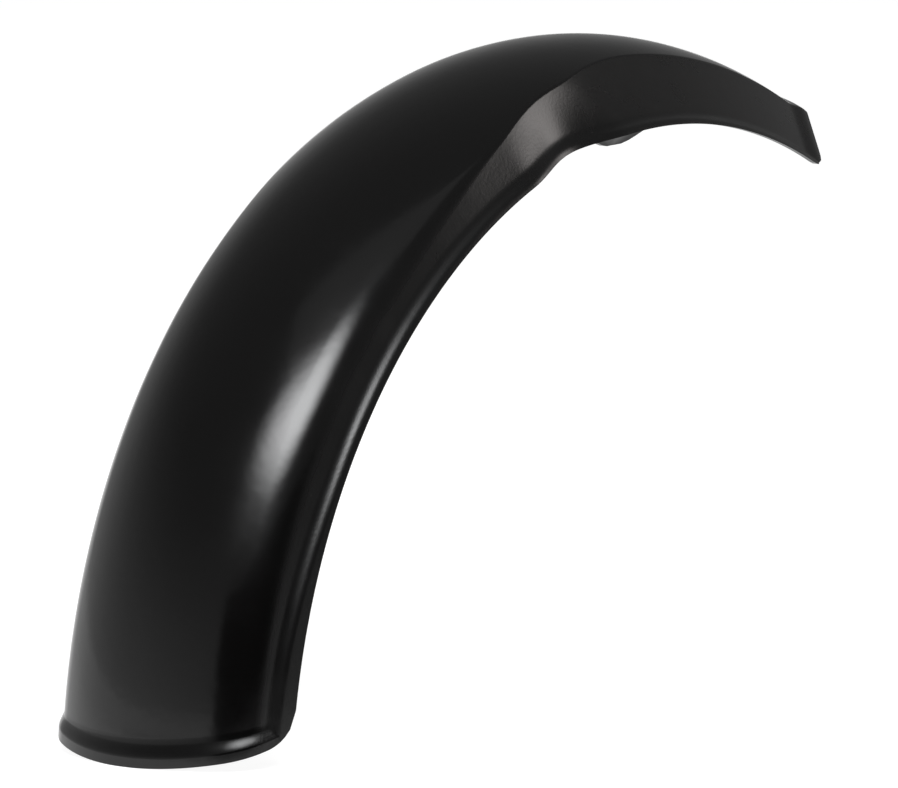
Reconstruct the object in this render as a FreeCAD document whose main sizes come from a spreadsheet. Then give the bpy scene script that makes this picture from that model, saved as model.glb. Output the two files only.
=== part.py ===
# Mudguard for a small motorcycle's front wheel: one arched sheet with a raised border.
#
# The sketches are drawn about the wheel's centre, with the wheel axis along Y, X forward and Z up.
# Angles along the arch start at the rear, level with the axle, and grow over the top.
# From the fork recesses forward the arch has a smaller radius, about a centre of its own.
# One half is modelled and mirrored. The finished body is then set down so that the seat under
# the crown, between the fork recesses, is at the origin.
import FreeCAD, Part
import math
import os

import Sketcher
from FreeCAD import Placement, Rotation, Vector

# Driving dimensions, in millimetres and degrees
SIZES = {
    "arch_radius": 300.0,          # wheel centre to the top of the crown
    "front_arch_radius": 277.0,    # the same forward of the fork recesses
    "crown_rise": 25.4,            # rise of the crown's curve over the guard's whole width
    "edge_width": 120.4,           # across the two side edges
    "edge_depth": 35.3,            # from the top of the crown to the side edges
    "wall": 2.0,                   # thickness of the sheet
    "side_lean": 23.4,             # lean of the rear half's sides away from the wheel's plane
    "nose_lean": 40.5,             # lean of the front half's sides
    "shoulder_radius": 28.0,       # crown to side, rear half
    "nose_shoulder_radius": 10.0,  # crown to side, front half
    "border_step": 2.0,            # height of the raised border
    "rim_height": 1.2,             # straight part of the border along the sides
    "rear_rim_height": 6.5,        # the same beside the rear end
    "flare_radius": 2.2,           # hollow bend at the foot of the side
    "rim_radius": 3.2,             # round bend at the top of the border
    "rear_angle": 6.4,             # rear corners, seen from the wheel's centre
    "front_angle": 118.6,          # front corners
    "rear_rake": 24.5,             # how far the rear end's crown reaches past its corners
    "front_rake": 6.0,             # the same at the front
    "rear_corner_radius": 19.0,    # corners of the rear end
    "front_corner_radius": 10.0,   # corners of the front end
    "rear_lip_length": 11.0,       # raised border across the rear end
    "front_lip_length": 4.5,       # the same across the front end
    "ramp_length": 3.0,            # slope up to that border
    "recess_angle": 76.0,          # middle of the fork recesses
    "recess_span": 16.0,           # length of a recess, seen from the wheel's centre
    "recess_depth": 7.2,           # how far a recess pulls the side edge in
    "recess_lean": 11.0,           # how far it stands the side up
    "nose_lead": 10.0,             # the sides start to slope this far before the recesses
    "nose_run": 7.0,               # and reach their full slope this far after them
    "rear_border_span": 26.0,      # length of the widened border beside the rear end
}

# How far the forms and the cuts run past the sheet
OVERRUN_ANGLE = 1.2
OVERRUN = 12.0

# Share of the border's bend that is left across the ends, where the crown is raised with it
LIP_BEND = 0.03

# The arch's radius at each end, and the way from the wheel's centre to that end's own centre
ARCH_RADIUS = {"rear": "sizes.arch_radius", "front": "sizes.front_arch_radius"}
RADIUS_CHANGE = "(sizes.arch_radius - sizes.front_arch_radius)"
CENTRE_FORWARD = {"rear": "0", "front": f"(0 - {RADIUS_CHANGE} * cos(sizes.recess_angle))"}
CENTRE_UP = {"rear": "0", "front": f"({RADIUS_CHANGE} * sin(sizes.recess_angle))"}

# Places that several features share
CROWN_RADIUS = "(((sizes.edge_width / 2) ^ 2 + sizes.crown_rise ^ 2) / (2 * sizes.crown_rise))"
EDGE_RADIUS = {end: f"({radius} - sizes.edge_depth)" for end, radius in ARCH_RADIUS.items()}
LIP_ANGLE = {end: f"(sizes.{end}_lip_length / {edge} * 180 / pi)" for end, edge in EDGE_RADIUS.items()}
RAMP_ANGLE = {end: f"({LIP_ANGLE[end]} + sizes.ramp_length / {edge} * 180 / pi)"
              for end, edge in EDGE_RADIUS.items()}
RECESS_START = "(sizes.recess_angle - sizes.recess_span / 2)"
RECESS_END = "(sizes.recess_angle + sizes.recess_span / 2)"
NOSE_START = f"({RECESS_START} - sizes.nose_lead)"
NOSE_END = f"({RECESS_END} + sizes.nose_run)"
REAR_LIP_START = f"(sizes.rear_angle + {RAMP_ANGLE['rear']})"
FRONT_LIP_START = f"(sizes.front_angle - {RAMP_ANGLE['front']})"

# Ends of a sketch line or arc, and the sketch's own origin and upright axis
START, END, CENTRE = 1, 2, 3
ORIGIN, UPRIGHT = -1, -2

document = FreeCAD.newDocument("mudguard")
sizes = document.addObject("Spreadsheet::Sheet", "sizes")
for row, (alias, number) in enumerate(SIZES.items(), start=1):
    sizes.set(f"A{row}", alias)
    sizes.set(f"B{row}", str(number))
    sizes.setAlias(f"B{row}", alias)
document.recompute()

body = document.addObject("PartDesign::Body", "mudguard")
body.Label = "mudguard"


def value(expression):
    return float(sizes.evalExpression(expression))


def smooth(share):
    share = min(max(share, 0.0), 1.0)
    return share * share * (3.0 - 2.0 * share)


def origin_plane(role):
    return next(plane for plane in body.Origin.OriginFeatures if plane.Role == role)


def new_sketch(name, role, axis, angle, flipped=False):
    sketch = body.newObject("Sketcher::SketchObject", name)
    sketch.AttachmentSupport = [(origin_plane(role), "")]
    sketch.MapMode = "FlatFace"
    sketch.MapReversed = flipped
    sketch.AttachmentOffset = Placement(Vector(), Rotation(axis, value(angle)))
    sketch.setExpression("AttachmentOffset.Rotation.Angle", angle)
    return sketch


def bind(sketch, name, expression, kind, *where):
    number = value(expression)
    if kind == "Angle":
        number = math.radians(number)
    index = sketch.addConstraint(Sketcher.Constraint(kind, *where, number))
    sketch.renameConstraint(index, name)
    sketch.setExpression(f"Constraints.{name}", expression)


def fix(sketch, kind, *where):
    sketch.addConstraint(Sketcher.Constraint(kind, *where))


def arc(centre, radius, first, last):
    circle = Part.Circle(centre, Vector(0, 0, 1), radius)
    return Part.ArcOfCircle(circle, math.radians(first), math.radians(last))


def station(angle, tilt="0", lip=False):
    """A cross-section's place: its angle at the side edge and its plane's lean along the arch."""
    end = "front" if value(angle) > value("sizes.recess_angle") else "rear"
    return {"angle": f"({angle})", "tilt": f"({tilt})", "lip": lip, "end": end}


def section_sizes(place, inset):
    """Expressions for one cross-section of the form, drawn in from the outer face by inset."""
    here = value(place["angle"])
    nose = smooth((here - value(NOSE_START)) / value(f"{NOSE_END} - {NOSE_START}"))
    recess = smooth(1.0 - abs(here - value("sizes.recess_angle")) / value("sizes.recess_span / 2"))
    rear = 1.0 - smooth((here - value("sizes.rear_angle")) / value("sizes.rear_border_span"))

    # A leaning plane cuts the arch at a slant, so the section in it is deeper.
    edge = EDGE_RADIUS[place["end"]]
    arch = ARCH_RADIUS[place["end"]]
    across = f"sqrt({arch} ^ 2 - ({edge} * sin({place['tilt']})) ^ 2)"
    depth = f"({across} - {edge} * cos({place['tilt']}))"
    stretch = f"({depth} / sizes.edge_depth)"
    upright_lean = (f"(sizes.side_lean + (sizes.nose_lean - sizes.side_lean) * {nose}"
                    f" - sizes.recess_lean * {recess})")
    lean = f"(atan(tan({upright_lean}) / {stretch}) / 1 deg)"
    shoulder = ("sizes.shoulder_radius"
                f" + (sizes.nose_shoulder_radius - sizes.shoulder_radius) * {nose}")
    rim = f"sizes.rim_height + (sizes.rear_rim_height - sizes.rim_height) * {rear}"
    step = "sizes.border_step"
    growth = "0"
    if place["lip"]:
        step = f"(sizes.border_step * {LIP_BEND})"
        growth = f"(sizes.border_step * {1.0 - LIP_BEND})"
    drop = OVERRUN if inset else 0.0
    inset = inset or "0"
    return {
        "lean": lean,
        "crown": f"{CROWN_RADIUS} / {stretch} + ({growth} - {inset}) * {stretch}",
        "top": f"{edge} + {depth} + ({growth} - {inset}) * {stretch}",
        "shoulder": f"{shoulder} + {growth} - {inset}",
        "flare": f"sizes.flare_radius + {inset}",
        "rim": f"sizes.rim_radius - {inset}",
        "step": step,
        "rim_run": f"{rim} + {drop} / cos({lean})",
        "half": (f"sizes.edge_width / 2 - sizes.recess_depth * {recess}"
                 f" + {drop} * tan({lean}) - {inset} / cos({lean})"),
        "level": f"{edge} - {drop}",
    }


def section_sketch(name, place, section):
    """Half a filled cross-section: crown, shoulder, side and border, down to the side edge."""
    end = place["end"]
    leaning = f"({place['angle']} + {place['tilt']})"
    rise = f"{EDGE_RADIUS[end]} * (sin({place['angle']}) - sin({leaning}))"
    advance = f"{EDGE_RADIUS[end]} * (cos({leaning}) - cos({place['angle']}))"
    sketch = new_sketch(name, "YZ_Plane", Vector(1, 0, 0), f"{leaning} - 90")
    sketch.setExpression("AttachmentOffset.Base.y", f"{CENTRE_UP[end]} + {rise}")
    sketch.setExpression("AttachmentOffset.Base.z", f"{CENTRE_FORWARD[end]} + {advance}")
    number = {key: value(expression) for key, expression in section.items()}
    lean = number["lean"]
    upward = Vector(-math.sin(math.radians(lean)), math.cos(math.radians(lean)), 0)
    outward = Vector(upward.y, -upward.x, 0)
    edge = Vector(number["half"], number["level"], 0)
    apex = Vector(0, number["top"], 0)
    foot = Vector(0, number["level"], 0)
    crown_centre = Vector(0, number["top"] - number["crown"], 0)

    # The border: a straight rim, then two bends that step in to the side
    bends = number["flare"] + number["rim"]
    turn = math.degrees(math.acos(1.0 - number["step"] / bends))
    rim_top = edge + upward * number["rim_run"]
    rim_centre = rim_top - outward * number["rim"]
    side_foot = rim_top + upward * bends * math.sin(math.radians(turn)) - outward * number["step"]
    flare_centre = side_foot + outward * number["flare"]

    # The shoulder's centre lies on a line beside the side, at its own distance from the crown's
    shoulder_line = side_foot - outward * number["shoulder"]
    reach = number["crown"] - number["shoulder"]
    to_line = shoulder_line - crown_centre
    run = math.sqrt(reach ** 2 - to_line.dot(outward) ** 2) - to_line.dot(upward)
    shoulder_centre = shoulder_line + upward * run
    side_top = shoulder_centre + outward * number["shoulder"]
    from_crown = shoulder_centre - crown_centre
    crown_turn = math.degrees(math.atan2(from_crown.y, from_crown.x))

    pieces = [
        arc(crown_centre, number["crown"], crown_turn, 90),
        arc(shoulder_centre, number["shoulder"], lean, crown_turn),
        Part.LineSegment(side_foot, side_top),
        arc(flare_centre, number["flare"], lean + 180, lean + 180 + turn),
        arc(rim_centre, number["rim"], lean, lean + turn),
        Part.LineSegment(edge, rim_top),
        Part.LineSegment(foot, edge),
        Part.LineSegment(apex, foot),
    ]
    sketch.addGeometry(pieces, False)
    crown, shoulder, side, flare, rim, rim_line, base, middle = range(len(pieces))

    fix(sketch, "Coincident", middle, START, crown, END)
    fix(sketch, "Tangent", crown, START, shoulder, END)
    fix(sketch, "Tangent", shoulder, START, side, END)
    fix(sketch, "Tangent", side, START, flare, START)
    fix(sketch, "Tangent", flare, END, rim, END)
    fix(sketch, "Tangent", rim, START, rim_line, END)
    fix(sketch, "Coincident", rim_line, START, base, END)
    fix(sketch, "Coincident", base, START, middle, END)
    fix(sketch, "PointOnObject", middle, START, UPRIGHT)
    fix(sketch, "PointOnObject", middle, END, UPRIGHT)
    fix(sketch, "PointOnObject", crown, CENTRE, UPRIGHT)
    fix(sketch, "Horizontal", base)
    fix(sketch, "Parallel", rim_line, side)
    bind(sketch, "crown", section["crown"], "Radius", crown)
    bind(sketch, "top", section["top"], "DistanceY", ORIGIN, START, crown, END)
    bind(sketch, "shoulder", section["shoulder"], "Radius", shoulder)
    bind(sketch, "lean", f"90 + {section['lean']}", "Angle", side)
    bind(sketch, "flare", section["flare"], "Radius", flare)
    bind(sketch, "rim", section["rim"], "Radius", rim)
    bind(sketch, "rim_run", section["rim_run"], "Distance", rim_line)
    bind(sketch, "step", section["step"], "Distance", rim_line, END, side)
    bind(sketch, "half", section["half"], "DistanceX", ORIGIN, START, base, END)
    bind(sketch, "level", section["level"], "DistanceY", ORIGIN, START, base, END)
    return sketch


def spread(first, last, count):
    return [f"{first} + ({last} - ({first})) * {step} / {count}" for step in range(count)]


def arch_stations():
    """Where the arch's cross-sections stand: closer together where the section changes."""
    border_end = "(sizes.rear_angle + sizes.rear_border_span)"
    angles = spread(REAR_LIP_START, border_end, 3)
    angles += spread(border_end, NOSE_START, 3)
    angles += spread(NOSE_START, RECESS_START, 2)
    angles += spread(RECESS_START, RECESS_END, 6)
    angles += spread(RECESS_END, NOSE_END, 2)
    angles += spread(NOSE_END, FRONT_LIP_START, 4)
    angles.append(FRONT_LIP_START)
    stations = []
    for angle in angles:
        here = value(angle)
        rear_run = value(f"{border_end} - ({REAR_LIP_START})")
        front_run = value(f"{FRONT_LIP_START} - {NOSE_END}")
        rear = smooth((value(border_end) - here) / rear_run)
        front = smooth((here - value(NOSE_END)) / front_run)
        tilt = f"sizes.front_rake * {front} - sizes.rear_rake * {rear}"
        stations.append(station(angle, tilt))
    return stations


def lip_stations(end):
    """The raised border across an end: a short ramp, then the border, on past the end."""
    if end == "rear":
        tilt = "0 - sizes.rear_rake"
        return [station(f"sizes.rear_angle + {LIP_ANGLE[end]}", tilt, lip=True),
                station(f"sizes.rear_angle - {OVERRUN_ANGLE}", tilt, lip=True)]
    tilt = "sizes.front_rake"
    return [station(f"sizes.front_angle - {LIP_ANGLE[end]}", tilt, lip=True),
            station(f"sizes.front_angle + {OVERRUN_ANGLE}", tilt, lip=True)]


def section_sketches(name, stations, inset):
    sketches = []
    for number, place in enumerate(stations, start=1):
        section = section_sizes(place, inset)
        sketches.append(section_sketch(f"{name}_section_{number}", place, section))
    return sketches


def loft(kind, name, sketches, ruled):
    feature = body.newObject(f"PartDesign::{kind}", name)
    feature.Profile = sketches[0]
    feature.Sections = sketches[1:]
    feature.Ruled = ruled
    document.recompute()


def form(kind, name, inset):
    """The whole filled form, drawn in by inset: the arch, then the border at each end."""
    arch = section_sketches(f"{name}_arch", arch_stations(), inset)
    loft(kind, f"{name}_arch", arch, ruled=False)
    for end, joint in (("rear", arch[0]), ("front", arch[-1])):
        lip = section_sketches(f"{name}_{end}_lip", lip_stations(end), inset)
        loft(kind, f"{name}_{end}_lip", [joint] + lip, ruled=True)


def side_view_sketch(name, end):
    """A side view at one end: across is away from the arch's centre, up is into the guard."""
    if end == "rear":
        return new_sketch(name, "XZ_Plane", Vector(0, 0, 1), "sizes.rear_angle", flipped=True)
    sketch = new_sketch(name, "XZ_Plane", Vector(0, 0, 1), "180 - sizes.front_angle")
    sketch.setExpression("AttachmentOffset.Base.x", CENTRE_FORWARD[end])
    sketch.setExpression("AttachmentOffset.Base.y", CENTRE_UP[end])
    return sketch


def cut_through(name, sketch):
    pocket = body.newObject("PartDesign::Pocket", name)
    pocket.Profile = sketch
    pocket.Type = "ThroughAll"
    pocket.SideType = "Symmetric"
    return pocket


def cut_end(end):
    """Trims one end to its raked outline, with a round corner at the side edge."""
    sketch = side_view_sketch(f"{end}_outline", end)
    edge = EDGE_RADIUS[end]
    rake = f"sizes.{end}_rake"
    radius = f"sizes.{end}_corner_radius"
    corner_run = f"{radius} / tan((90 + {rake}) / 2)"
    outer = f"{ARCH_RADIUS[end]} + sizes.border_step + {OVERRUN}"
    inner = f"{edge} - {OVERRUN}"
    reach = f"({outer} - {edge}) * tan(abs({rake})) + {OVERRUN}"
    along = Vector(math.cos(math.radians(value(rake))), -math.sin(math.radians(value(rake))), 0)
    corner = Vector(value(edge), 0, 0)
    end_low = corner + along * value(corner_run)
    end_high = corner + along * ((value(outer) - value(edge)) / along.x)
    edge_point = corner + Vector(0, value(corner_run), 0)
    centre = edge_point + Vector(value(radius), 0, 0)
    inner_low = Vector(value(inner), edge_point.y, 0)
    inner_far = Vector(value(inner), -value(reach), 0)
    outer_far = Vector(end_high.x, -value(reach), 0)
    sketch.addGeometry([
        Part.LineSegment(end_high, end_low),
        arc(centre, value(radius), 180, 270 - value(rake)),
        Part.LineSegment(edge_point, inner_low),
        Part.LineSegment(inner_low, inner_far),
        Part.LineSegment(inner_far, outer_far),
        Part.LineSegment(outer_far, end_high),
    ], False)
    end_line, round_corner, step_in, inner_line, far_line, outer_line = range(6)
    fix(sketch, "Tangent", end_line, END, round_corner, END)
    fix(sketch, "Coincident", round_corner, START, step_in, START)
    fix(sketch, "Coincident", step_in, END, inner_line, START)
    fix(sketch, "Coincident", inner_line, END, far_line, START)
    fix(sketch, "Coincident", far_line, END, outer_line, START)
    fix(sketch, "Coincident", outer_line, END, end_line, START)
    fix(sketch, "Horizontal", step_in)
    fix(sketch, "Vertical", inner_line)
    fix(sketch, "Horizontal", far_line)
    fix(sketch, "Vertical", outer_line)
    fix(sketch, "Horizontal", round_corner, START, round_corner, CENTRE)
    bind(sketch, "corner", radius, "Radius", round_corner)
    bind(sketch, "rake", f"180 - {rake}", "Angle", end_line)
    bind(sketch, "edge", edge, "DistanceX", ORIGIN, START, step_in, START)
    bind(sketch, "corner_run", corner_run, "DistanceY", ORIGIN, START, step_in, START)
    bind(sketch, "outer", outer, "DistanceX", ORIGIN, START, end_line, START)
    bind(sketch, "inner", inner, "DistanceX", ORIGIN, START, step_in, END)
    bind(sketch, "reach", reach, "DistanceY", far_line, START, ORIGIN, START)
    return cut_through(f"{end}_end", sketch)


def mirror():
    other_half = body.newObject("PartDesign::Mirrored", "other_half")
    other_half.MirrorPlane = (origin_plane("XZ_Plane"), [""])
    other_half.TransformMode = "Whole shape"
    body.Tip = other_half


def check(objects):
    for item in objects:
        if "Invalid" in item.State or "Error" in item.State:
            raise RuntimeError(f"{item.Name} failed: {item.State}")
    shape = body.Shape
    if shape.isNull() or not shape.isValid() or len(shape.Solids) != 1:
        raise RuntimeError("the mudguard is not one valid solid")


form("AdditiveLoft", "outer", "")
cut_end("rear")
cut_end("front")
document.recompute()
form("SubtractiveLoft", "inner", "sizes.wall")
mirror()

# The seat under the crown becomes the origin
body.setExpression("Placement.Base.x", "(sizes.arch_radius - sizes.wall) * cos(sizes.recess_angle)")
body.setExpression("Placement.Base.z", "(sizes.wall - sizes.arch_radius) * sin(sizes.recess_angle)")
document.recompute()
check(document.Objects)

os.makedirs("parts", exist_ok=True)
body.Shape.exportStep(f"parts/{body.Label}.step")
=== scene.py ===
import math

import bmesh
import bpy
import numpy as np
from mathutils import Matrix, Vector


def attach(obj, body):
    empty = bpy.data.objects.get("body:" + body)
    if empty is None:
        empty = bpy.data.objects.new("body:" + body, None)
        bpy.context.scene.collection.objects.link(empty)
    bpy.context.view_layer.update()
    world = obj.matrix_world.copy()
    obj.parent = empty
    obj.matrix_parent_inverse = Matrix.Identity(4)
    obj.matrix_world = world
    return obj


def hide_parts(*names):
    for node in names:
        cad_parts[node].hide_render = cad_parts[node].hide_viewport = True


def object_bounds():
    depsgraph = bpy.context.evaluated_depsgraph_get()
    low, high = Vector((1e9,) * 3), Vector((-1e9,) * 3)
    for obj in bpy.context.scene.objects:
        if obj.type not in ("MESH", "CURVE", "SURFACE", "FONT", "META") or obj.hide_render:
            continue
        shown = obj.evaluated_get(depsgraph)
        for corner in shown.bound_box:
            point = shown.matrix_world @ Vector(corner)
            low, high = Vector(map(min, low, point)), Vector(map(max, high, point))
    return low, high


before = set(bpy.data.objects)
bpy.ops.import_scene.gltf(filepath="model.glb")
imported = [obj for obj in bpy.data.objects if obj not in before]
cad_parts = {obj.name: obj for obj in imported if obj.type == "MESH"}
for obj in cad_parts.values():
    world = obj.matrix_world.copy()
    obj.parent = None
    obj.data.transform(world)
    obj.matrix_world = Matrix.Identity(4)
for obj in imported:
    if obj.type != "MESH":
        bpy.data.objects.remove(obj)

CAD_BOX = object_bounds()
MM = 0.001

# Sizes of the guard that are the CAD model's, in millimetres and degrees
ARCH_RADIUS = 300.0           # wheel centre to the top of the crown
FRONT_ARCH_RADIUS = 277.0     # the same forward of the fork recesses
CROWN_RISE = 25.4             # rise of the crown's curve over the guard's whole width
EDGE_WIDTH = 120.4            # across the two side edges
EDGE_DEPTH = 35.3             # from the top of the crown to the side edges
WALL = 2.0                    # thickness of the sheet
SIDE_LEAN = 23.4              # lean of the rear half's sides away from the wheel's plane
NOSE_LEAN = 40.5              # lean of the front half's sides
SHOULDER_RADIUS = 28.0        # crown to side, rear half
BORDER_STEP = 2.0             # height of the raised border
RIM_HEIGHT = 1.2              # straight part of the border along the sides
REAR_RIM_HEIGHT = 6.5         # the same beside the rear end
REAR_ANGLE = 6.4              # rear corners, seen from the wheel's centre
FRONT_ANGLE = 118.6           # front corners, seen from the front arc's centre
REAR_RAKE = 24.5              # how far the rear end's crown reaches past its corners
REAR_CORNER_RADIUS = 19.0     # corners of the rear end
RECESS_ANGLE = 76.0           # middle of the fork recesses
RECESS_SPAN = 16.0            # length of a recess, seen from the wheel's centre
RECESS_DEPTH = 7.2            # how far a recess pulls the side edge in
RECESS_LEAN = 11.0            # how far it stands the side up
NOSE_LEAD = 10.0              # the sides start to slope this far before the recesses
NOSE_RUN = 7.0                # and reach their full slope this far after them
REAR_BORDER_SPAN = 26.0       # length of the widened border beside the rear end
LIP_BEND = 0.03               # share of the border's bend that is left across the ends

# Sizes that are the scene's own, set against the photograph
NOSE_SHOULDER_RADIUS = 3.0    # crown to side, front half
CREASE_LEAD = 8.0             # the shoulder starts to tighten this far before the sides slope
CREASE_STOP = 4.0             # and is tight this far before the middle of the recesses
FLARE_RADIUS = 9.0            # hollow bend at the foot of the side
RIM_RADIUS = 6.0              # round bend at the top of the border
FRONT_RAKE = 15.0             # how far the front end's crown reaches past its corners
FRONT_CORNER_RADIUS = 12.0    # corners of the front end
REAR_LIP_LENGTH = 3.8         # raised border across the rear end
REAR_RAMP_LENGTH = 4.6        # slope up to that border
FRONT_LIP_LENGTH = 2.0        # raised border across the front end
FRONT_RAMP_LENGTH = 9.0       # slope up to that border
STRAIGHT_SHARE = 0.7          # how much of the rear border's slope is straight
ROUNDING = 0.5                # rounding of the sheet's cut edges
ROUNDING_STEPS = 3
ROUNDING_ANGLE = 40.0         # edges sharper than this are rounded

# Radii of the crown across the guard, and of the side edges along each arc
CROWN_RADIUS = ((EDGE_WIDTH / 2) ** 2 + CROWN_RISE ** 2) / (2 * CROWN_RISE)
REAR_EDGE = ARCH_RADIUS - EDGE_DEPTH
FRONT_EDGE = FRONT_ARCH_RADIUS - EDGE_DEPTH

# Places along the arch, as angles seen from the arc's centre
REAR_LIP_END = REAR_ANGLE + math.degrees(REAR_LIP_LENGTH / REAR_EDGE)
FRONT_LIP_END = FRONT_ANGLE - math.degrees(FRONT_LIP_LENGTH / FRONT_EDGE)
REAR_LIP = REAR_LIP_END + math.degrees(REAR_RAMP_LENGTH / REAR_EDGE)
FRONT_LIP = FRONT_LIP_END - math.degrees(FRONT_RAMP_LENGTH / FRONT_EDGE)
NOSE_START = RECESS_ANGLE - RECESS_SPAN / 2 - NOSE_LEAD
NOSE_END = RECESS_ANGLE + RECESS_SPAN / 2 + NOSE_RUN
BORDER_END = REAR_ANGLE + REAR_BORDER_SPAN
CREASE_START = NOSE_START - CREASE_LEAD
CREASE_END = RECESS_ANGLE - CREASE_STOP

# From the wheel's centre: the seat under the crown, which is the origin, and the front arc's centre
TO_RECESS = Vector((-math.cos(math.radians(RECESS_ANGLE)), 0.0, math.sin(math.radians(RECESS_ANGLE))))
SEAT = TO_RECESS * (ARCH_RADIUS - WALL)
FRONT_CENTRE = TO_RECESS * (ARCH_RADIUS - FRONT_ARCH_RADIUS)

# The mesh's columns run across half a section: which piece each lies on, and how far along it
PIECE_STEPS = {"crown": 22, "shoulder": 18, "side": 10, "flare": 6, "rim": 6, "rim_line": 3}
PIECES = np.array([name for name, steps in PIECE_STEPS.items() for _ in range(steps)] + ["rim_line"])
SHARES = np.concatenate([np.arange(steps) / steps for steps in PIECE_STEPS.values()] + [[1.0]])
POLISHED_SHARE = 2 / 3        # how far down the shoulder the crown's polish reaches

# The mesh's rows run along the arch
LIP_ROWS = 9
RAMP_ROWS = 8
ARCH_ROWS = 200


def smooth(share):
    """A rise from 0 to 1 that starts and ends level."""
    share = np.clip(share, 0.0, 1.0)
    return share * share * (3.0 - 2.0 * share)


def slope(share):
    """A rise from 0 to 1 that is nearly straight, with a little rounding where it starts and ends."""
    return STRAIGHT_SHARE * np.clip(share, 0.0, 1.0) + (1.0 - STRAIGHT_SHARE) * smooth(share)


def arch_radius(angle):
    """The crown's radius: the rear arc's up to the recesses, and the front arc's past them."""
    return np.where(angle > RECESS_ANGLE, FRONT_ARCH_RADIUS, ARCH_RADIUS)


def sizes_at(angle, tilt, growth, inset):
    """The section's sizes in a plane that stands at this angle and leans by tilt, in radians.

    growth goes from 0 to 1 where the raised border crosses an end, and inset is 0 on the outer face.
    """
    nose = smooth((angle - NOSE_START) / (NOSE_END - NOSE_START))
    recess = smooth(1.0 - np.abs(angle - RECESS_ANGLE) / (RECESS_SPAN / 2))
    rear = 1.0 - smooth((angle - REAR_ANGLE) / REAR_BORDER_SPAN)
    arch = arch_radius(angle)
    edge = arch - EDGE_DEPTH
    depth = np.sqrt(arch ** 2 - (edge * np.sin(tilt)) ** 2) - edge * np.cos(tilt)
    stretch = depth / EDGE_DEPTH
    upright = SIDE_LEAN + (NOSE_LEAN - SIDE_LEAN) * nose - RECESS_LEAN * recess
    lean = np.arctan(np.tan(np.radians(upright)) / stretch)
    crease = smooth((angle - CREASE_START) / (CREASE_END - CREASE_START))
    shoulder = SHOULDER_RADIUS + (NOSE_SHOULDER_RADIUS - SHOULDER_RADIUS) * crease
    raised = growth * BORDER_STEP * (1.0 - LIP_BEND)
    return {
        "lean": lean,
        "crown": CROWN_RADIUS / stretch + (raised - inset) * stretch,
        "top": edge + depth + (raised - inset) * stretch,
        "level": edge,
        "shoulder": shoulder + raised - inset,
        "flare": FLARE_RADIUS + inset,
        "rim": RIM_RADIUS - inset,
        "step": BORDER_STEP - raised,
        "rim_run": RIM_HEIGHT + (REAR_RIM_HEIGHT - RIM_HEIGHT) * rear,
        "half": EDGE_WIDTH / 2 - RECESS_DEPTH * recess - inset / np.cos(lean),
    }


def half_section(angle, tilt, growth, inset):
    """Points across half a section, one column each, as complex numbers: y + 1j * height."""
    size = sizes_at(angle, tilt, growth, inset)
    lean = size["lean"]
    out = np.exp(1j * lean)
    up = 1j * out

    # The border, from the side edge up to the foot of the side
    edge = size["half"] + 1j * size["level"]
    rim_top = edge + up * size["rim_run"]
    bends = size["flare"] + size["rim"]
    turn = np.arccos(1.0 - size["step"] / bends)
    foot = rim_top + up * bends * np.sin(turn) - out * size["step"]

    # The shoulder's arc, which runs on from the side and touches the crown's arc from inside
    crown_centre = 1j * (size["top"] - size["crown"])
    reach = size["crown"] - size["shoulder"]
    beside = ((foot - crown_centre) / out).real - size["shoulder"]
    to_shoulder = out * (beside + 1j * np.sqrt(reach ** 2 - beside ** 2))
    crown_turn = np.angle(to_shoulder)
    shoulder_centre = crown_centre + to_shoulder
    side_top = shoulder_centre + out * size["shoulder"]

    def arc(centre, radius, start, end):
        return centre + radius * np.exp(1j * (start + (end - start) * SHARES))

    def line(start, end):
        return start + (end - start) * SHARES

    shapes = {
        "crown": arc(crown_centre, size["crown"], np.pi / 2, crown_turn),
        "shoulder": arc(shoulder_centre, size["shoulder"], crown_turn, lean),
        "side": line(side_top, foot),
        "flare": arc(foot + out * size["flare"], size["flare"], lean + np.pi, lean + np.pi + turn),
        "rim": arc(rim_top - out * size["rim"], size["rim"], lean + turn, lean),
        "rim_line": line(rim_top, edge),
    }
    return np.select([PIECES == name for name in shapes], list(shapes.values()))


def place(angle, tilt, section):
    """Points of leaning section planes, in the guard's frame."""
    pivot = np.radians(angle)
    leaning = pivot + tilt
    edge = arch_radius(angle) - EDGE_DEPTH
    past_edge = section.imag - edge
    in_front = angle > RECESS_ANGLE
    x = np.where(in_front, FRONT_CENTRE.x, 0.0) - edge * np.cos(pivot) - past_edge * np.cos(leaning)
    z = np.where(in_front, FRONT_CENTRE.z, 0.0) + edge * np.sin(pivot) + past_edge * np.sin(leaning)
    return np.stack([x - SEAT.x, section.real, z - SEAT.z], axis=-1)


def tilt_at(angle):
    """How far a section's plane leans, so that the sections turn into the raked ends."""
    rear = smooth((BORDER_END - angle) / (BORDER_END - REAR_LIP))
    front = smooth((angle - NOSE_END) / (FRONT_LIP - NOSE_END))
    return np.radians(FRONT_RAKE * front - REAR_RAKE * rear)


def corner_pull(corner, rake, radius, inset):
    """How far the rounded corner draws the end back along the arch, in degrees, for each column."""
    angle = np.full((1, len(PIECES)), corner)
    height = half_section(angle, tilt_at(angle), np.ones_like(angle), inset).imag
    edge = float(arch_radius(corner)) - EDGE_DEPTH
    lean = math.radians(rake)
    corner_run = radius / math.tan((math.pi / 2 + lean) / 2)
    across = np.clip((height - edge) * math.cos(lean), 0.0, radius)
    arc = corner_run - np.sqrt(radius ** 2 - (radius - across) ** 2)
    inside = across < corner_run * math.cos(lean)
    return np.degrees(np.where(inside, arc + across * math.tan(lean), 0.0) / edge)


def angle_rows(first, last, count):
    """Angles from first up to, and not with, last, one row each. Both differ by column."""
    shares = np.linspace(0.0, 1.0, count, endpoint=False)[:, None]
    return first + (last - first) * shares


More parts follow.
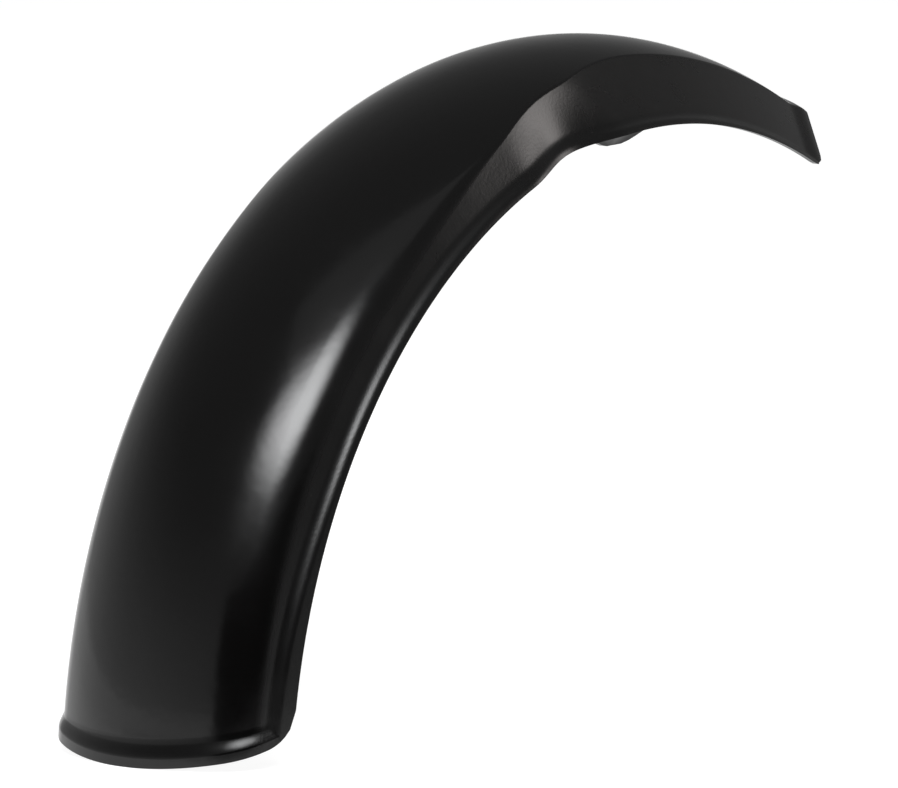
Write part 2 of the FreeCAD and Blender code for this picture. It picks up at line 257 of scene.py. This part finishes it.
def grid_angles(inset):
    """The angle of each mesh point: even rows along the arch, and ends that follow the corners."""
    rear_end = REAR_ANGLE + corner_pull(REAR_ANGLE, REAR_RAKE, REAR_CORNER_RADIUS, inset)
    front_end = FRONT_ANGLE - corner_pull(FRONT_ANGLE, FRONT_RAKE, FRONT_CORNER_RADIUS, inset)
    rear_lip_end = np.maximum(REAR_LIP_END, rear_end)
    rear_lip = np.maximum(REAR_LIP, rear_end)
    front_lip = np.minimum(FRONT_LIP, front_end)
    front_lip_end = np.minimum(FRONT_LIP_END, front_end)
    return np.concatenate([
        angle_rows(rear_end, rear_lip_end, LIP_ROWS),
        angle_rows(rear_lip_end, rear_lip, RAMP_ROWS),
        angle_rows(rear_lip, front_lip, ARCH_ROWS),
        angle_rows(front_lip, front_lip_end, RAMP_ROWS),
        angle_rows(front_lip_end, front_end, LIP_ROWS),
        front_end,
    ])


def half_surface(inset):
    """One half's outer face, or its inner face with the sheet's thickness as inset."""
    angle = grid_angles(inset)
    tilt = tilt_at(angle)
    rear = slope((REAR_LIP - angle) / (REAR_LIP - REAR_LIP_END))
    front = smooth((angle - FRONT_LIP) / (FRONT_LIP_END - FRONT_LIP))
    return place(angle, tilt, half_section(angle, tilt, np.maximum(rear, front), inset))


def both_halves(half):
    """A whole face: the half's mirror image and the half itself, with the middle column once."""
    mirrored = half * np.array([1.0, -1.0, 1.0])
    return np.concatenate([mirrored[:, :0:-1], half], axis=1)


def mark_sides(mesh, row_count):
    """Marks the duller sides, border and inner face with 1 and the polished crown with 0."""
    shoulder = np.maximum(0.0, (SHARES - POLISHED_SHARE) / (1.0 - POLISHED_SHARE))
    half = np.select([PIECES == "crown", PIECES == "shoulder"], [np.zeros_like(SHARES), shoulder], 1.0)
    around = np.concatenate([half[:0:-1], half, np.ones(2 * len(half) - 1)])
    mark = mesh.attributes.new("dull_side", "FLOAT", "POINT")
    mark.data.foreach_set("value", np.tile(around, row_count).tolist())


def guard_mesh():
    """The whole sheet: its outer and inner face, joined along the side edges and across the ends."""
    outer = both_halves(half_surface(0.0))
    inner = both_halves(half_surface(WALL))
    loops = np.concatenate([outer, inner[:, ::-1]], axis=1)
    row_count, around = loops.shape[:2]

    faces = []
    for row in range(row_count - 1):
        for step in range(around):
            here = row * around + step
            beside = row * around + (step + 1) % around
            faces.append((here, beside, beside + around, here + around))
    for row, turned in ((0, True), (row_count - 1, False)):
        first = row * around
        last = first + around - 1
        for step in range(outer.shape[1] - 1):
            face = (first + step, first + step + 1, last - step - 1, last - step)
            faces.append(face[::-1] if turned else face)

    mesh = bpy.data.meshes.new("guard_shell")
    mesh.from_pydata((loops * MM).reshape(-1, 3).tolist(), [], faces)
    build = bmesh.new()
    build.from_mesh(mesh)
    bmesh.ops.recalc_face_normals(build, faces=build.faces)
    build.to_mesh(mesh)
    build.free()
    mesh.polygons.foreach_set("use_smooth", [True] * len(mesh.polygons))
    mark_sides(mesh, row_count)
    return mesh


def add_object(name, data):
    """A new object in the scene."""
    added = bpy.data.objects.new(name, data)
    bpy.context.scene.collection.objects.link(added)
    return added


guard = add_object("guard_shell", guard_mesh())
rounding = guard.modifiers.new("edge_rounding", "BEVEL")
rounding.limit_method = "ANGLE"
rounding.angle_limit = math.radians(ROUNDING_ANGLE)
rounding.width = ROUNDING * MM
rounding.segments = ROUNDING_STEPS
rounding.harden_normals = True
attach(guard, "root")
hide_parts("mudguard")

# The plastic's look. In a pair of amounts the first is the crown's and the second the sides'
PLASTIC_IOR = 1.46
BLACK_PLASTIC = (0.0028, 0.0027, 0.0027, 1.0)
DUST_COLOUR = (0.05, 0.047, 0.045, 1.0)
ROUGHNESS = (0.13, 0.27)
DUST_AMOUNT = (0.04, 0.2)
GRAIN_AMOUNT = (0.05, 1.2)
RELIEF_STRENGTH = 0.55
RELIEF_DEPTH = 0.06 * MM

# The plastic's marks: how fine each is, which part of its noise shows, and what it adds to roughness
GRAIN_SCALE = 800.0
PEEL_SCALE = 160.0
DUST_SCALE = 700.0
CLOUD_SCALE = 18.0
HAZE_SCALE = 45.0
FINE_DETAIL = 1.0
CLOUD_DETAIL = 4.0
HAZE_DETAIL = 6.0
DUST_RANGE = (0.72, 0.8)
CLOUD_RANGE = (0.3, 0.7)
HAZE_RANGE = (0.5, 0.8)
CLOUD_ROUGHNESS = (-0.02, 0.05)
HAZE_ROUGHNESS = (0.0, 0.05)
UNIT_RANGE = (0.0, 1.0)


def new_material(name):
    """A material, and the nodes and links of its tree."""
    material = bpy.data.materials.new(name)
    material.use_nodes = True
    return material, material.node_tree.nodes, material.node_tree.links


def set_inputs(node, values):
    """Sets a node's inputs by name."""
    for name, value in values.items():
        node.inputs[name].default_value = value


def map_range(nodes, links, value, source, target, interpolation="LINEAR"):
    """A node that spreads a value from one range over another."""
    node = nodes.new("ShaderNodeMapRange")
    node.interpolation_type = interpolation
    set_inputs(node, {"From Min": source[0], "From Max": source[1]})
    set_inputs(node, {"To Min": target[0], "To Max": target[1]})
    links.new(value, node.inputs["Value"])
    return node


def gloss_black():
    """Black moulded plastic: a polished crown, duller grained sides, faint haze and a little dust."""
    material, nodes, links = new_material("gloss_black_plastic")
    shader = nodes["Principled BSDF"]
    shader.inputs["IOR"].default_value = PLASTIC_IOR
    where = nodes.new("ShaderNodeTexCoord")
    side = nodes.new("ShaderNodeAttribute")
    side.attribute_name = "dull_side"

    def noise(scale, detail):
        node = nodes.new("ShaderNodeTexNoise")
        set_inputs(node, {"Scale": scale, "Detail": detail})
        links.new(where.outputs["Object"], node.inputs["Vector"])
        return node.outputs["Fac"]

    def spread(value, source, target):
        return map_range(nodes, links, value, source, target).outputs["Result"]

    def from_crown_to_side(amounts):
        return spread(side.outputs["Fac"], UNIT_RANGE, amounts)

    def work(operation, first, second):
        node = nodes.new("ShaderNodeMath")
        node.operation = operation
        links.new(first, node.inputs[0])
        links.new(second, node.inputs[1])
        return node.outputs["Value"]

    cloud = spread(noise(CLOUD_SCALE, CLOUD_DETAIL), CLOUD_RANGE, CLOUD_ROUGHNESS)
    haze = spread(noise(HAZE_SCALE, HAZE_DETAIL), HAZE_RANGE, HAZE_ROUGHNESS)
    polish = work("ADD", from_crown_to_side(ROUGHNESS), cloud)
    links.new(work("ADD", polish, haze), shader.inputs["Roughness"])

    dust = spread(noise(DUST_SCALE, FINE_DETAIL), DUST_RANGE, UNIT_RANGE)
    colour = nodes.new("ShaderNodeMix")
    colour.data_type = "RGBA"
    set_inputs(colour, {"A": BLACK_PLASTIC, "B": DUST_COLOUR})
    links.new(work("MULTIPLY", dust, from_crown_to_side(DUST_AMOUNT)), colour.inputs["Factor"])
    links.new(colour.outputs["Result"], shader.inputs["Base Color"])

    grain = work("MULTIPLY", noise(GRAIN_SCALE, FINE_DETAIL), from_crown_to_side(GRAIN_AMOUNT))
    relief = nodes.new("ShaderNodeBump")
    set_inputs(relief, {"Strength": RELIEF_STRENGTH, "Distance": RELIEF_DEPTH})
    links.new(work("ADD", grain, noise(PEEL_SCALE, FINE_DETAIL)), relief.inputs["Height"])
    links.new(relief.outputs["Normal"], shader.inputs["Normal"])
    return material


guard.data.materials.append(gloss_black())

# Camera: the photograph's viewing angle, with the object filling its frame
TARGET = Vector((-8.7, 0.0, -138.5)) * MM
VIEW_TURN = math.radians(37.92)
VIEW_RISE = math.radians(7.48)
DISTANCE = 5096.2 * MM
LENS = 475.9
SENSOR = 36.0
CLIP_END = 50.0
back = Vector((-math.cos(VIEW_TURN) * math.cos(VIEW_RISE),
               -math.sin(VIEW_TURN) * math.cos(VIEW_RISE), math.sin(VIEW_RISE)))
camera = add_object("camera", bpy.data.cameras.new("camera"))
camera.data.lens = LENS
camera.data.sensor_width = SENSOR
camera.data.sensor_fit = "HORIZONTAL"
camera.data.clip_end = CLIP_END
camera.location = TARGET + back * DISTANCE
camera.rotation_euler = back.to_track_quat("Z", "Y").to_euler()
bpy.context.scene.camera = camera

# Studio: directions are turned from the camera's side of the object, to its right, and raised
FLOOR_LEVEL = CAD_BOX[0][2]
CENTRE = Vector((0.0, 0.0, -130.0)) * MM
level_back = Vector((back.x, back.y, 0.0)).normalized()
to_right = Vector((0.0, 0.0, 1.0)).cross(level_back)

# Colours and strengths of the studio, with lengths in metres
WHITE = (1.0, 1.0, 1.0, 1.0)
COOL_WHITE = (0.98, 0.99, 1.0, 1.0)
WARM_WHITE = (1.0, 0.95, 0.93, 1.0)
BLACK = (0.0, 0.0, 0.0, 1.0)
FLOOR_GREY = (0.3, 0.3, 0.3, 1.0)
FLOOR_GLOW = 0.9
FLOOR_SIDE = 60.0
MAT_LIFT = 2.0 * MM
BACKGROUND_STRENGTH = 1.0
WORLD_STRENGTH = 0.3
GLOW_FADE = (0.25, 1.0)       # a soft lamp fades between these shares of the way to its edge

# The dim room: its dome, and its light, with heights and reaches as shares of its radius
ROOM_RADIUS = 4.0
ROOM_RINGS = 10
ROOM_SPOKES = 48
ROOM_FOOT = math.radians(2.0)
BRIGHT_WALL_TURN = -95.0
WALL_REACH = (-0.2, 0.9)
WALL_STRENGTH = (0.2, 0.7)
CEILING_REACH = (-0.1, 0.6)
CEILING_STRENGTH = 0.12


def toward(turn, rise):
    """The direction from the object to a place in the studio, with both angles in degrees."""
    turn, rise = math.radians(turn), math.radians(rise)
    level = level_back * math.cos(turn) + to_right * math.sin(turn)
    return level * math.cos(rise) + Vector((0.0, 0.0, math.sin(rise)))


def aim(holder, turn, rise, distance):
    """Stands a lamp or a card that way from the object, facing it."""
    direction = toward(turn, rise)
    holder.location = CENTRE + direction * distance
    holder.rotation_euler = direction.to_track_quat("Z", "Y").to_euler()


def rectangle(name, width, height):
    """A flat mesh around its own middle."""
    x, y = width / 2, height / 2
    mesh = bpy.data.meshes.new(name)
    mesh.from_pydata([(-x, -y, 0.0), (x, -y, 0.0), (x, y, 0.0), (-x, y, 0.0)], [], [(0, 1, 2, 3)])
    return mesh


def show_in_reflections_only(holder):
    """Hides what lights or darkens the studio from the camera, from shadows and from soft light."""
    holder.visible_camera = False
    holder.visible_shadow = False
    holder.visible_diffuse = False


def softbox(name, turn, rise, distance, width, height, radiance):
    """A flat lamp that faces the object. Its power follows from how bright its face looks."""
    lamp = bpy.data.lights.new(name, "AREA")
    lamp.shape = "RECTANGLE"
    lamp.size = width
    lamp.size_y = height
    lamp.energy = radiance * math.pi * width * height
    holder = add_object(name, lamp)
    aim(holder, turn, rise, distance)
    holder.visible_camera = False


def card(name, turn, rise, distance, width, height):
    """A flat black card that only reflections see, as a studio's dark flag is."""
    holder = add_object(name, rectangle(name, width, height))
    aim(holder, turn, rise, distance)
    paint, nodes, _ = new_material(name)
    set_inputs(nodes["Principled BSDF"], {"Base Color": BLACK, "Roughness": 1.0})
    holder.data.materials.append(paint)
    show_in_reflections_only(holder)
    return holder


def glow_card(name, turn, rise, distance, width, height, radiance, tint):
    """A card made into a soft lamp, which is brightest in its middle and fades out to its edge."""
    holder = card(name, turn, rise, distance, width, height)
    tree = holder.data.materials[0].node_tree
    nodes, links = tree.nodes, tree.links
    where = nodes.new("ShaderNodeTexCoord")
    shape = nodes.new("ShaderNodeMapping")
    shape.inputs["Scale"].default_value = (2 / width, 2 / height, 1.0)
    out = nodes.new("ShaderNodeVectorMath")
    out.operation = "LENGTH"
    links.new(where.outputs["Object"], shape.inputs["Vector"])
    links.new(shape.outputs["Vector"], out.inputs[0])
    fade = map_range(nodes, links, out.outputs["Value"], GLOW_FADE, (1.0, 0.0), "SMOOTHSTEP")
    clear = nodes.new("ShaderNodeBsdfTransparent")
    light = nodes.new("ShaderNodeEmission")
    set_inputs(light, {"Strength": radiance, "Color": tint})
    mix = nodes.new("ShaderNodeMixShader")
    links.new(fade.outputs["Result"], mix.inputs["Fac"])
    links.new(clear.outputs[0], mix.inputs[1])
    links.new(light.outputs[0], mix.inputs[2])
    links.new(mix.outputs[0], nodes["Material Output"].inputs["Surface"])
    holder.visible_diffuse = True


glow_card("overhead_softbox", turn=2.0, rise=46.0, distance=2.0, width=2.0, height=1.15,
          radiance=15.0, tint=COOL_WHITE)
softbox("upper_fill", turn=18.0, rise=70.0, distance=2.2, width=2.0, height=1.0, radiance=0.2)
glow_card("right_reflector", turn=107.0, rise=21.0, distance=2.0, width=1.4, height=1.1,
          radiance=4.5, tint=WARM_WHITE)
card("dark_flag", turn=12.0, rise=11.0, distance=2.6, width=3.6, height=1.25)

# The dark mat is a card laid on the floor
dark_mat = card("dark_mat", turn=14.0, rise=0.0, distance=1.5, width=3.2, height=2.3)
dark_mat.location.z = FLOOR_LEVEL + MAT_LIFT
dark_mat.rotation_euler = (0.0, 0.0, math.atan2(level_back.y, level_back.x) - math.pi / 2)


def seen_rays(nodes, links):
    """1 for the rays that look at the background: from the camera, in gloss and through glass."""
    rays = nodes.new("ShaderNodeLightPath")
    total = rays.outputs["Is Camera Ray"]
    for name in ("Is Glossy Ray", "Is Transmission Ray"):
        either = nodes.new("ShaderNodeMath")
        either.operation = "MAXIMUM"
        links.new(total, either.inputs[0])
        links.new(rays.outputs[name], either.inputs[1])
        total = either.outputs["Value"]
    return total


def studio_world():
    """White for what looks at the background, and a dim room for other light."""
    world = bpy.data.worlds.new("studio")
    world.use_nodes = True
    nodes, links = world.node_tree.nodes, world.node_tree.links
    room = nodes["Background"]
    set_inputs(room, {"Color": WHITE, "Strength": WORLD_STRENGTH})
    white = nodes.new("ShaderNodeBackground")
    set_inputs(white, {"Color": WHITE, "Strength": BACKGROUND_STRENGTH})
    mix = nodes.new("ShaderNodeMixShader")
    links.new(seen_rays(nodes, links), mix.inputs["Fac"])
    links.new(room.outputs[0], mix.inputs[1])
    links.new(white.outputs[0], mix.inputs[2])
    links.new(mix.outputs[0], nodes["World Output"].inputs["Surface"])
    return world


bpy.context.scene.world = studio_world()


def dome_mesh():
    """Rings of faces from just above the horizon up to a point overhead."""
    points = []
    for ring in range(ROOM_RINGS):
        rise = ROOM_FOOT + (math.pi / 2 - ROOM_FOOT) * ring / ROOM_RINGS
        for spoke in range(ROOM_SPOKES):
            turn = 2 * math.pi * spoke / ROOM_SPOKES
            points.append((ROOM_RADIUS * math.cos(rise) * math.cos(turn),
                           ROOM_RADIUS * math.cos(rise) * math.sin(turn), ROOM_RADIUS * math.sin(rise)))
    top = len(points)
    points.append((0.0, 0.0, ROOM_RADIUS))
    faces = []
    for ring in range(ROOM_RINGS):
        for spoke in range(ROOM_SPOKES):
            here = ring * ROOM_SPOKES + spoke
            after = ring * ROOM_SPOKES + (spoke + 1) % ROOM_SPOKES
            if ring < ROOM_RINGS - 1:
                faces.append((here, after, after + ROOM_SPOKES, here + ROOM_SPOKES))
            else:
                faces.append((here, after, top))
    mesh = bpy.data.meshes.new("dark_room")
    mesh.from_pydata(points, [], faces)
    return mesh


def dim_wall():
    """A faint light of its own, brightest low on the left and darkest overhead."""
    paint, nodes, links = new_material("dim_wall")
    shader = nodes["Principled BSDF"]
    set_inputs(shader, {"Base Color": BLACK, "Emission Color": WHITE})
    where = nodes.new("ShaderNodeTexCoord")
    leftward = nodes.new("ShaderNodeVectorMath")
    leftward.operation = "DOT_PRODUCT"
    leftward.inputs[1].default_value = toward(BRIGHT_WALL_TURN, 0.0)
    links.new(where.outputs["Object"], leftward.inputs[0])
    height = nodes.new("ShaderNodeSeparateXYZ")
    links.new(where.outputs["Object"], height.inputs[0])
    wall_reach = [share * ROOM_RADIUS for share in WALL_REACH]
    ceiling_reach = [share * ROOM_RADIUS for share in CEILING_REACH]
    wall = map_range(nodes, links, leftward.outputs["Value"], wall_reach, WALL_STRENGTH)
    fade = map_range(nodes, links, height.outputs["Z"], ceiling_reach, (0.0, CEILING_STRENGTH), "SMOOTHSTEP")
    links.new(wall.outputs["Result"], fade.inputs["To Min"])
    links.new(fade.outputs["Result"], shader.inputs["Emission Strength"])
    return paint


def dark_room():
    """The studio's dim walls and ceiling above the white sweep, seen only in reflections."""
    room = add_object("dark_room", dome_mesh())
    room.location = CENTRE
    room.data.materials.append(dim_wall())
    show_in_reflections_only(room)
    room.visible_transmission = False


dark_room()


def floor():
    """A pale floor that looks white and takes the object's shadow."""
    plane = add_object("floor", rectangle("floor", FLOOR_SIDE, FLOOR_SIDE))
    plane.location.z = FLOOR_LEVEL
    paint, nodes, links = new_material("pale_floor")
    matt = nodes["Principled BSDF"]
    set_inputs(matt, {"Base Color": FLOOR_GREY, "Roughness": 1.0, "Emission Color": WHITE})
    matt.inputs["Specular IOR Level"].default_value = 0.0
    glow = nodes.new("ShaderNodeMath")
    glow.operation = "MULTIPLY"
    glow.inputs[1].default_value = FLOOR_GLOW
    links.new(seen_rays(nodes, links), glow.inputs[0])
    links.new(glow.outputs[0], matt.inputs["Emission Strength"])
    plane.data.materials.append(paint)


floor()

bpy.context.scene.view_settings.view_transform = "Standard"
